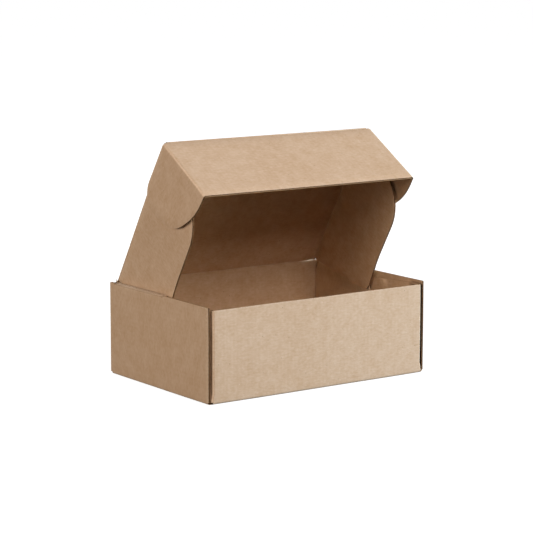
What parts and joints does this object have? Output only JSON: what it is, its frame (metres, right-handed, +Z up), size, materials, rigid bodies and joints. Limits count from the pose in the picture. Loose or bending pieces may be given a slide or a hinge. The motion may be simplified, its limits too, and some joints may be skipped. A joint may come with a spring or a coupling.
{
  "type": "folding mailer box",
  "caption": "Folding mailer box of kraft corrugated board with double side walls and a hinged lid that tucks in, for shipping goods.",
  "frame": {"origin": "centre of the base, on the surface the box stands on", "axes": "+X to the right along the front wall, +Y from the front wall to the hinge, +Z up"},
  "size_m": [0.2096, 0.143, 0.1937],
  "materials": {
    "kraft_board": "matte"
  },
  "bodies": {
    "tray": {"tray": "kraft_board"},
    "lid": {"lid": "kraft_board"},
    "left_dust_flap": {"left_dust_flap": "kraft_board"},
    "right_dust_flap": {"right_dust_flap": "kraft_board"},
    "tuck_flap": {"tuck_flap": "kraft_board"}
  },
  "joints": [
    {"name": "lid_hinge", "type": "hinge", "parent": "tray", "child": "lid", "pos_m": [0, 0.07075, 0.07425], "axis": [-1, 0, 0], "range_deg": [-58.7, 121.3], "deforming": ["tuck_flap"]},
    {"name": "left_dust_flap_fold", "type": "hinge", "parent": "lid", "child": "left_dust_flap", "pos_m": [-0.0974, 0.03332, 0.1335], "axis": [0, -0.5195, 0.8545], "range_deg": [0, 80]},
    {"name": "right_dust_flap_fold", "type": "hinge", "parent": "lid", "child": "right_dust_flap", "pos_m": [0.0974, 0.03332, 0.1335], "axis": [0, 0.5195, -0.8545], "range_deg": [0, 80]},
    {"name": "tuck_flap_fold", "type": "hinge", "parent": "lid", "child": "tuck_flap", "pos_m": [0, -0.00231, 0.1921], "axis": [1, 0, 0], "range_deg": [0, 20]}
  ]
}
